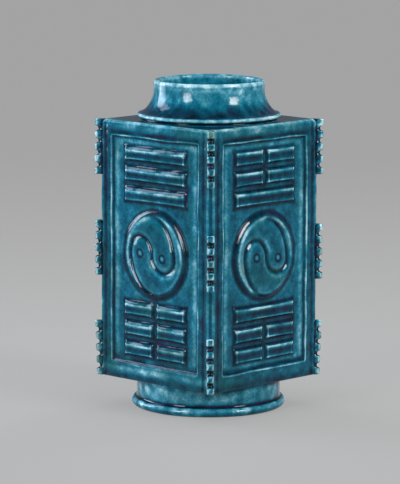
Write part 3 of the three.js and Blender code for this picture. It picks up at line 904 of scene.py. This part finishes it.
def build_foot():
    """Stem with a rounded bead that the vase stands on."""
    low_radius = BEAD_RADIUS - BEAD_REACH
    top_radius = low_radius - FOOT_FLARE
    bore = top_radius - FOOT_WALL
    top = BODY_BOTTOM + SEAT_LAP
    half_bead = BEAD_HEIGHT / 2
    profile = ([(bore, 1.2), (bore + 1.2, 0), (low_radius - 1.5, 0)]
               + arc(low_radius, half_bead, BEAD_REACH, half_bead, -90, 90, 13)
               + [(low_radius - 0.7, BEAD_HEIGHT + 1), (top_radius, top), (bore, top)])

    def shade(line):
        radius, height = line.T
        outside = radius > bore + FOOT_WALL / 2
        # Darker stem top under the body: glaze pooled at the joint, and painted shade under the
        # body.
        pool_and_shade_under_body = 0.55 * ease((height - BODY_BOTTOM + 6) / 5)
        over_bead = 0.55 * near(height - BEAD_HEIGHT - 0.8, 1.6)
        # Painted shade: darker over the bead's lower half and underside, low down by the floor.
        low = 0.7 * ease((half_bead + 1.5 - height) / 3)
        bead = 0.45 * near(height - half_bead - 1, 4) * (radius > low_radius - 0.6)
        return (pool_and_shade_under_body + over_bead + low + bead - 0.50) * outside

    build_turned("glazed_foot", profile, "foot_ring", 0.15, 0.18, shade)


# Relief on the panels

def skirt_drop(inside):
    """Sinks the outer rim of a piece just under the panel."""
    return 0.12 + 0.3 * ease((-inside - SKIRT * 0.6) / (SKIRT * 0.4))


def on_panel(quarter, u, z, height):
    """Points at a height over the panel, which strays as the wall under it does."""
    stray = wander(to_world(quarter, u, z, 0))
    return to_world(quarter, u, z, height - PANEL_DEPTH + stray)


def build_patch(node, quarter, u, z, height, rows, columns, glaze):
    """Closed piece from a grid of face coordinates, with its rim sunk into the panel."""
    grid = np.arange(rows * columns).reshape(rows, columns)
    rim = np.concatenate([grid[0], grid[1:, -1], grid[-1, -2::-1], grid[-2:0:-1, 0]])
    points = on_panel(quarter, u, z, height)
    back = len(points)
    size = len(rim)
    lower = to_world(quarter, u[rim], z[rim], -PANEL_DEPTH - RIM_SUNK)
    faces = grid_faces(rows, columns, wrap=False)
    for j in range(size):
        k = (j + 1) % size
        faces.append([rim[k], rim[j], back + j, back + k])
    faces.append(range(back + size - 1, back - 1, -1))
    glaze = np.concatenate([glaze, np.zeros(size)])
    build(f"glazed_{node}", np.concatenate([points, lower]), faces, glaze, relief_glaze, [node])


def build_lines(face):
    """A face's trigram lines, each tilted a little as if laid on by hand."""
    quarter = FACES.index(face)
    top_slope = LINE_TOP_SLOPE[face]
    for index, (node, middle_u, middle_z, half_u, half_z) in enumerate(LINES[face]):
        columns = graded([(-half_u - SKIRT, -half_u + 4, 0.33), (-half_u + 4, half_u - 4, 1.1),
                          (half_u - 4, half_u + SKIRT, 0.33)])
        rows = graded([(-half_z - SKIRT, half_z + LINE_TOP_FOOT + SKIRT, 0.33)])
        a, b = [grid.ravel() for grid in np.meshgrid(columns, rows)]
        seed = SEEDS["line_tilt"] + LINE_TILT_SEEDS_PER_FACE * quarter + index
        tilt = np.random.default_rng(seed).uniform(-LINE_TILT, LINE_TILT)
        u = middle_u + a
        z = middle_z + b + tilt * a
        waver = ripple(to_world(quarter, u, z, 0), 17, "line_top")
        edges = line_edges(a, b, half_u, half_z)
        height = line_height(*edges, top_slope, waver) - skirt_drop(np.minimum.reduce(edges))
        vary = strength(quarter, u, z, "line_glaze")
        glaze = wall_glaze(face, u, z) + line_glaze(*edges, top_slope, vary)
        build_patch(node, quarter, u, z, height, len(rows), len(columns), glaze)


def build_roundel(face):
    """Crowned disc from rings of points, from the middle out, with its rim sunk in the panel."""
    quarter = FACES.index(face)
    spokes = ROUNDEL_SPOKES
    radii = graded([(0.5, ROUNDEL_RADIUS - 6, 0.5),
                    (ROUNDEL_RADIUS - 6, ROUNDEL_RADIUS + SKIRT, 0.36)])
    angles = np.arange(spokes) * 2 * math.pi / spokes
    radius_grid, angle_grid = np.meshgrid(radii, angles, indexing="ij")
    x = (radius_grid * np.cos(angle_grid)).ravel()
    y = (radius_grid * np.sin(angle_grid)).ravel()
    z = y + ROUNDEL_CENTRE
    height = roundel_height(face, x, y) - skirt_drop(ROUNDEL_RADIUS - np.hypot(x, y))
    glaze = wall_glaze(face, x, z)
    glaze += roundel_glaze(face, x, y, strength(quarter, x, z, "roundel_glaze"))
    points = on_panel(quarter, x, z, height)
    rings = len(radii)
    outer = (rings - 1) * spokes + np.arange(spokes)
    lower = to_world(quarter, x[outer], z[outer], -PANEL_DEPTH - RIM_SUNK)
    ends = [points[:spokes].mean(axis=0), lower.mean(axis=0)]
    points = np.concatenate([points, lower, ends])
    faces = [f[::-1] for f in capped_faces(rings + 1, spokes)]
    glaze = np.concatenate([glaze, np.zeros(spokes), [glaze[:spokes].mean(), 0.0]])
    build(f"glazed_{face}_roundel", points, faces, glaze, relief_glaze, [f"{face}_roundel"])


# Corner flanges

def flange_form():
    """Softened flange as points, faces and glaze thickness (notches darkened by painted shade), in
    millimetres from its root.
    """
    rise = graded([(0, FLANGE_EASE, 0.16), (FLANGE_EASE, FLANGE_HEIGHT - FLANGE_EASE, 0.36),
                   (FLANGE_HEIGHT - FLANGE_EASE, FLANGE_HEIGHT, 0.16)])
    sweep = np.linspace(0, math.pi, 61)
    rows, columns = len(rise), len(sweep)
    z, turn = np.meshgrid(rise, sweep, indexing="ij")
    pitch = LOBE_HEIGHT + NOTCH_WIDTH
    notch = (z + NOTCH_WIDTH / 2 + pitch / 2) % pitch - pitch / 2
    between_ends = (z > pitch / 2) & (z < FLANGE_HEIGHT - pitch / 2)
    notch = np.where(between_ends, np.abs(notch), pitch / 2)
    bite = np.sqrt(np.clip(1 - (notch / (NOTCH_WIDTH / 2)) ** 2, 0, 1))
    lobe_corner = 0.6 * ease(1 - (notch - NOTCH_WIDTH / 2) / 1.3)
    end = np.clip(FLANGE_EASE - np.minimum(z, FLANGE_HEIGHT - z), 0, FLANGE_EASE)
    inset = FLANGE_EASE - np.sqrt(FLANGE_EASE ** 2 - end ** 2)
    reach = FLANGE_REACH - lobe_corner - (NOTCH_DEPTH - 0.6) * bite - inset
    half = FLANGE_THICKNESS / 2 - inset
    cos, sin = np.cos(turn), np.sin(turn)
    power = FLANGE_SQUARENESS * (1 + 0.8 * bite)
    out = (reach + FLANGE_ROOT) * sin ** power - FLANGE_ROOT
    side = half * np.sign(cos) * np.abs(cos) ** power
    place = np.stack([out, side, z], axis=-1).reshape(-1, 3)

    from_middle = np.abs(np.degrees(turn) - 90)
    lobe = ease((notch - NOTCH_WIDTH * 0.55) / 1.6) * ease((end - FLANGE_EASE) / -0.8)
    glaze = -0.38 * ease(out / 1.4) - 0.75 * ease((out - FLANGE_REACH + 2.6) / 1.8)
    glaze -= 0.40 * near(from_middle - 44, 16)
    glaze += 1.0 * near(from_middle, 18) * lobe
    # Painted shade: the notches are darkened much more on the side that faces outwards, where they
    # lie in shadow.
    glaze += 2.1 * near(notch, NOTCH_WIDTH * 0.50) * ease((52 - from_middle) / 16)
    glaze += 0.5 * near(notch, NOTCH_WIDTH * 0.40)
    glaze += 0.7 * np.exp(-np.maximum(out, 0) / 1.1)
    faces = grid_faces(rows, columns)
    faces.append(range(columns)[::-1])
    faces.append(range((rows - 1) * columns, rows * columns))
    return place, faces, glaze.ravel()


def build_flanges():
    """Three flanges on each corner, each standing where its CAD node does."""
    place, faces, glaze = flange_form()
    corner_radius = HALF_BODY * math.sqrt(2) - CORNER_STRIP / 2
    for index, corner in enumerate(["front_right", "back_right", "back_left", "front_left"]):
        angle = index * QUARTER - QUARTER / 2
        cos, sin = math.cos(angle), math.sin(angle)
        for level in ("lower", "middle", "upper"):
            node = f"{corner}_{level}_flange"
            bottom = box_mm(node)[0][2]
            lean = LOWER_LEAN * (FLANGE_HEIGHT - place[:, 2]) if level == "lower" else 0
            out = corner_radius + place[:, 0] - lean
            side = place[:, 1]
            points = np.stack([out * cos - side * sin, out * sin + side * cos,
                               bottom + place[:, 2]], axis=1)
            clouds = 0.15 * ripple(points, 14, "flange_clouds")
            flecks = 0.30 * ripple(points, 4.5, "flange_flecks")
            stray = np.stack([ripple(points, 14, "flange_out"),
                              ripple(points, 14, "flange_side")], axis=1)
            points[:, :2] += FLANGE_STRAY * stray
            build(f"glazed_{node}", points, faces, glaze + clouds + flecks, flange_glaze, [node])


build_body()
build_neck()
build_foot()
for face_name in FACES:
    build_lines(face_name)
    build_roundel(face_name)
build_flanges()


# Camera, at the photograph's angle

CAMERA_AZIMUTH = math.radians(44.055)
CAMERA_ELEVATION = math.radians(8.63)
CAMERA_DISTANCE = 2.847
CAMERA_LENS = 247.9
CAMERA_ROLL = math.radians(0.16)
TARGET = Vector((0, 0, 0.140))
AIM_LEFT = 0.0075


def direction(azimuth, elevation):
    """Unit vector; azimuth turns from the -Y side towards +X."""
    return Vector((math.sin(azimuth) * math.cos(elevation),
                   -math.cos(azimuth) * math.cos(elevation), math.sin(elevation)))


def place_camera():
    """Camera that looks a little to the left of the vase's middle."""
    right = Vector((math.cos(CAMERA_AZIMUTH), math.sin(CAMERA_AZIMUTH), 0))
    location = TARGET + direction(CAMERA_AZIMUTH, CAMERA_ELEVATION) * CAMERA_DISTANCE
    forward = (TARGET - right * AIM_LEFT - location).normalized()
    side = forward.cross(Vector((0, 0, 1))).normalized()
    up = side.cross(forward)
    turn = Matrix((side, up, -forward)).transposed().to_4x4()
    camera = bpy.data.objects.new("camera", bpy.data.cameras.new("camera"))
    camera.data.lens = CAMERA_LENS
    camera.data.clip_end = 60
    camera.matrix_world = (Matrix.Translation(location) @ turn
                           @ Matrix.Rotation(CAMERA_ROLL, 4, "Z"))
    bpy.context.scene.collection.objects.link(camera)
    bpy.context.scene.camera = camera


# Floor, world and lights

FLOOR_REACH = 14
FLOOR_COLOUR = (0.10, 0.10, 0.10, 1)
FLOOR_GLOW = 0.30  # what the camera and mirror-like reflections see on top of the floor's colour
WORLD_COLOUR = (0.94, 0.97, 1.0, 1)
WORLD_STRENGTH = 0.17
LAMP_SPREAD = math.radians(70)
SUN_ENERGY = 1.6
SUN_ANGLE = math.radians(60)
LAMPS = [
    # name, azimuth from the camera to the right, elevation, distance, width, height, power, tint,
    # and whether it shows in the glaze
    ("left_key", -45.5, 13, 1.5, 0.45, 0.70, 3.5, (0.92, 0.96, 1), True),
    ("right_key", 53, 23.0, 1.5, 0.46, 0.55, 3.6, (0.98, 1, 1), True),
    ("left_strip", -112, 13.5, 1.4, 0.54, 0.76, 2.5, (0.72, 0.86, 1), True),
    ("left_high", -106, 34.5, 1.4, 0.48, 0.32, 0.50, (0.66, 0.78, 1), True),
    ("left_fill", -140, 25, 2.2, 1.2, 1.2, 5.2, (1, 1, 1), False),
    ("right_fill", 140, 25, 2.2, 1.2, 1.2, 5.2, (1, 1, 1), False),
]


def build_floor():
    """Plain pale floor that keeps the vase's shadow."""
    mesh = bpy.data.meshes.new("floor")
    reach = FLOOR_REACH
    mesh.from_pydata([(-reach, -reach, 0), (reach, -reach, 0), (reach, reach, 0),
                      (-reach, reach, 0)], [], [(0, 1, 2, 3)])
    floor = bpy.data.objects.new("floor", mesh)
    bpy.context.scene.collection.objects.link(floor)
    material = bpy.data.materials.new("pale_floor")
    material.use_nodes = True
    n = Nodes(material.node_tree)
    shader = n.add("ShaderNodeBsdfDiffuse")
    shader.inputs["Color"].default_value = FLOOR_COLOUR
    glow = n.add("ShaderNodeEmission")
    path = n.add("ShaderNodeLightPath")
    seen = n.math("MAXIMUM", path.outputs["Is Camera Ray"], path.outputs["Is Glossy Ray"])
    seen = n.math("MAXIMUM", seen, path.outputs["Is Transmission Ray"])
    n.link(n.product(seen, FLOOR_GLOW), glow.inputs["Strength"])
    both = n.add("ShaderNodeAddShader")
    n.link(shader.outputs[0], both.inputs[0])
    n.link(glow.outputs[0], both.inputs[1])
    output = n.add("ShaderNodeOutputMaterial")
    n.link(both.outputs[0], output.inputs["Surface"])
    mesh.materials.append(material)


def build_world():
    """Even pale surroundings."""
    world = bpy.data.worlds.new("studio")
    world.use_nodes = True
    background = world.node_tree.nodes["Background"]
    background.inputs["Color"].default_value = WORLD_COLOUR
    background.inputs["Strength"].default_value = WORLD_STRENGTH
    bpy.context.scene.world = world


def soft_lamp(name, azimuth, elevation, distance, width, height, power, tint, shows):
    """Area light that faces the middle of the vase."""
    data = bpy.data.lights.new(name, "AREA")
    data.shape = "RECTANGLE"
    data.size = width
    data.size_y = height
    data.energy = power
    data.color = tint
    data.spread = LAMP_SPREAD
    lamp = bpy.data.objects.new(name, data)
    towards = direction(CAMERA_AZIMUTH + math.radians(azimuth), math.radians(elevation))
    lamp.location = TARGET + towards * distance
    lamp.rotation_euler = towards.to_track_quat("Z", "Y").to_euler()
    lamp.visible_glossy = shows
    bpy.context.scene.collection.objects.link(lamp)


def build_lamps():
    """The lamps, and a wide sun from straight above."""
    for settings in LAMPS:
        soft_lamp(*settings)
    sun = bpy.data.lights.new("overhead", "SUN")
    sun.energy = SUN_ENERGY
    sun.angle = SUN_ANGLE
    overhead = bpy.data.objects.new("overhead", sun)
    overhead.visible_glossy = False
    bpy.context.scene.collection.objects.link(overhead)


place_camera()
build_floor()
build_world()
build_lamps()
bpy.context.scene.view_settings.view_transform = "Standard"
